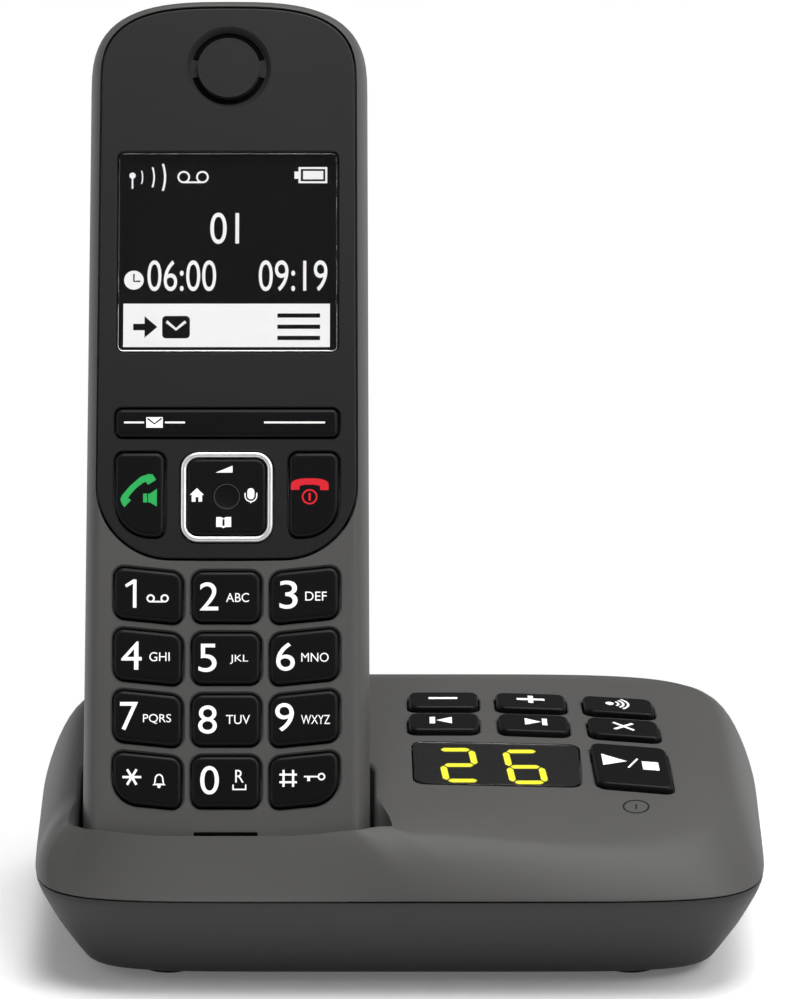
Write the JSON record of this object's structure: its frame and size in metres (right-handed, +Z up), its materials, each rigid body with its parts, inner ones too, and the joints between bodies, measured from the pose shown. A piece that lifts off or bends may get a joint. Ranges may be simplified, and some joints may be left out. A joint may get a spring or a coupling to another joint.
{
  "type": "answering machine with cordless handset",
  "caption": "Low rounded base with a sloped key panel and digit window, and a cordless keypad handset standing tilted in its cradle.",
  "frame": {"origin": "on the table, under the middle of the whole telephone's bounding box", "axes": "+X to the user's right, +Y away from the user, +Z up"},
  "size_m": [0.126, 0.0958, 0.157],
  "materials": {
    "shell_grey": "finely textured dark warm grey",
    "lower_grey": "coarser textured darker grey",
    "fascia_black": "satin near-black",
    "key_black": "satin black with white legends",
    "window_black": "smoked clear window",
    "display_black": "dark display",
    "bright_ring": "polished",
    "contact_gold": "gold plated",
    "steel": "plain steel",
    "board_green": "green board",
    "mat_rubber": "silicone mat",
    "foot_rubber": "soft black rubber",
    "cell_sleeve": "plain sleeve",
    "speaker_grey": "dark plastic",
    "socket_black": "moulded black"
  },
  "bodies": {
    "base": {"base_lower_shell": "lower_grey", "base_upper_shell": "shell_grey", "base_circuit_board": "board_green", "base_key_mat": "mat_rubber", "base_display_window": "window_black", "led_digit_module": "display_black", "base_loudspeaker": "speaker_grey", "power_socket": "socket_black", "line_socket": "socket_black", "base_screw_left": "steel", "base_screw_right": "steel", "foot_front_left": "foot_rubber", "foot_front_right": "foot_rubber", "foot_back_left": "foot_rubber", "foot_back_right": "foot_rubber"},
    "handset": {"handset_front_shell": "shell_grey", "handset_rear_shell": "shell_grey", "handset_fascia": "fascia_black", "handset_display_window": "window_black", "handset_lcd": "display_black", "handset_earpiece": "speaker_grey", "handset_key_mat": "mat_rubber", "handset_circuit_board": "board_green", "battery_cell_left": "cell_sleeve", "battery_cell_right": "cell_sleeve", "handset_ringer": "speaker_grey", "handset_microphone": "speaker_grey", "handset_charge_pad_left": "contact_gold", "handset_charge_pad_right": "contact_gold"},
    "volume_down_key": {"volume_down_key": "key_black"},
    "volume_up_key": {"volume_up_key": "key_black"},
    "page_key": {"page_key": "key_black"},
    "skip_back_key": {"skip_back_key": "key_black"},
    "skip_forward_key": {"skip_forward_key": "key_black"},
    "delete_key": {"delete_key": "key_black"},
    "play_stop_key": {"play_stop_key": "key_black"},
    "charging_contact_left": {"charging_contact_left": "contact_gold"},
    "charging_contact_right": {"charging_contact_right": "contact_gold"},
    "key_1": {"key_1": "key_black"},
    "key_2": {"key_2": "key_black"},
    "key_3": {"key_3": "key_black"},
    "key_4": {"key_4": "key_black"},
    "key_5": {"key_5": "key_black"},
    "key_6": {"key_6": "key_black"},
    "key_7": {"key_7": "key_black"},
    "key_8": {"key_8": "key_black"},
    "key_9": {"key_9": "key_black"},
    "key_star": {"key_star": "key_black"},
    "key_0": {"key_0": "key_black"},
    "key_hash": {"key_hash": "key_black"},
    "talk_key": {"talk_key": "key_black"},
    "end_key": {"end_key": "key_black"},
    "softkey_bar": {"softkey_bar": "key_black"},
    "nav_gimbal": {"nav_gimbal": "steel"},
    "nav_key": {"nav_pad": "key_black", "nav_ring": "bright_ring"},
    "battery_door": {"battery_door": "shell_grey"}
  },
  "joints": [
    {"name": "handset_lift", "type": "slide", "parent": "base", "child": "handset", "axis": [0, 0.4848, 0.8746], "range_m": [0, 0.045]},
    {"name": "volume_down_key_press", "type": "slide", "parent": "base", "child": "volume_down_key", "axis": [0, 0.0499, -0.9988], "range_m": [0, 0.0006], "stiffness_N_per_m": 400},
    {"name": "volume_up_key_press", "type": "slide", "parent": "base", "child": "volume_up_key", "axis": [0, 0.0524, -0.9986], "range_m": [0, 0.0006], "stiffness_N_per_m": 400},
    {"name": "page_key_press", "type": "slide", "parent": "base", "child": "page_key", "axis": [0, 0.0597, -0.9982], "range_m": [0, 0.0006], "stiffness_N_per_m": 400},
    {"name": "skip_back_key_press", "type": "slide", "parent": "base", "child": "skip_back_key", "axis": [0, 0.0872, -0.9962], "range_m": [0, 0.0006], "stiffness_N_per_m": 400},
    {"name": "skip_forward_key_press", "type": "slide", "parent": "base", "child": "skip_forward_key", "axis": [0, 0.0896, -0.996], "range_m": [0, 0.0006], "stiffness_N_per_m": 400},
    {"name": "delete_key_press", "type": "slide", "parent": "base", "child": "delete_key", "axis": [0, 0.0969, -0.9953], "range_m": [0, 0.0006], "stiffness_N_per_m": 400},
    {"name": "play_stop_key_press", "type": "slide", "parent": "base", "child": "play_stop_key", "axis": [0, 0.1516, -0.9884], "range_m": [0, 0.0006], "stiffness_N_per_m": 400},
    {"name": "charging_contact_left_spring", "type": "slide", "parent": "base", "child": "charging_contact_left", "axis": [0, -0.4848, -0.8746], "range_m": [0, 0.0005], "stiffness_N_per_m": 300},
    {"name": "charging_contact_right_spring", "type": "slide", "parent": "base", "child": "charging_contact_right", "axis": [0, -0.4848, -0.8746], "range_m": [0, 0.0005], "stiffness_N_per_m": 300},
    {"name": "key_1_press", "type": "slide", "parent": "handset", "child": "key_1", "axis": [0, 0.8746, -0.4848], "range_m": [0, 0.0006], "stiffness_N_per_m": 350},
    {"name": "key_2_press", "type": "slide", "parent": "handset", "child": "key_2", "axis": [0, 0.8746, -0.4848], "range_m": [0, 0.0006], "stiffness_N_per_m": 350},
    {"name": "key_3_press", "type": "slide", "parent": "handset", "child": "key_3", "axis": [0, 0.8746, -0.4848], "range_m": [0, 0.0006], "stiffness_N_per_m": 350},
    {"name": "key_4_press", "type": "slide", "parent": "handset", "child": "key_4", "axis": [0, 0.8746, -0.4848], "range_m": [0, 0.0006], "stiffness_N_per_m": 350},
    {"name": "key_5_press", "type": "slide", "parent": "handset", "child": "key_5", "axis": [0, 0.8746, -0.4848], "range_m": [0, 0.0006], "stiffness_N_per_m": 350},
    {"name": "key_6_press", "type": "slide", "parent": "handset", "child": "key_6", "axis": [0, 0.8746, -0.4848], "range_m": [0, 0.0006], "stiffness_N_per_m": 350},
    {"name": "key_7_press", "type": "slide", "parent": "handset", "child": "key_7", "axis": [0, 0.8746, -0.4848], "range_m": [0, 0.0006], "stiffness_N_per_m": 350},
    {"name": "key_8_press", "type": "slide", "parent": "handset", "child": "key_8", "axis": [0, 0.8746, -0.4848], "range_m": [0, 0.0006], "stiffness_N_per_m": 350},
    {"name": "key_9_press", "type": "slide", "parent": "handset", "child": "key_9", "axis": [0, 0.8746, -0.4848], "range_m": [0, 0.0006], "stiffness_N_per_m": 350},
    {"name": "key_star_press", "type": "slide", "parent": "handset", "child": "key_star", "axis": [0, 0.8746, -0.4848], "range_m": [0, 0.0006], "stiffness_N_per_m": 350},
    {"name": "key_0_press", "type": "slide", "parent": "handset", "child": "key_0", "axis": [0, 0.8746, -0.4848], "range_m": [0, 0.0006], "stiffness_N_per_m": 350},
    {"name": "key_hash_press", "type": "slide", "parent": "handset", "child": "key_hash", "axis": [0, 0.8746, -0.4848], "range_m": [0, 0.0006], "stiffness_N_per_m": 350},
    {"name": "talk_key_press", "type": "slide", "parent": "handset", "child": "talk_key", "axis": [0, 0.8746, -0.4848], "range_m": [0, 0.0006], "stiffness_N_per_m": 350},
    {"name": "end_key_press", "type": "slide", "parent": "handset", "child": "end_key", "axis": [0, 0.8746, -0.4848], "range_m": [0, 0.0006], "stiffness_N_per_m": 350},
    {"name": "softkey_rock", "type": "hinge", "parent": "handset", "child": "softkey_bar", "pos_m": [-0.0298, -0.0033, 0.09055], "axis": [0, 0.4848, 0.8746], "range_deg": [-2.5, 2.5], "stiffness_Nm_per_rad": 0.05},
    {"name": "nav_tilt_up_down", "type": "hinge", "parent": "handset", "child": "nav_gimbal", "pos_m": [-0.0298, -0.01, 0.07928], "axis": [1, 0, 0], "range_deg": [-3, 3], "stiffness_Nm_per_rad": 0.03},
    {"name": "nav_tilt_left_right", "type": "hinge", "parent": "nav_gimbal", "child": "nav_key", "pos_m": [-0.0298, -0.01, 0.07928], "axis": [0, 0.4848, 0.8746], "range_deg": [-3, 3], "stiffness_Nm_per_rad": 0.03},
    {"name": "battery_door_hinge", "type": "hinge", "parent": "handset", "child": "battery_door", "pos_m": [-0.0298, 0.0259, 0.08819], "axis": [1, 0, 0], "range_deg": [0, 60]}
  ]
}
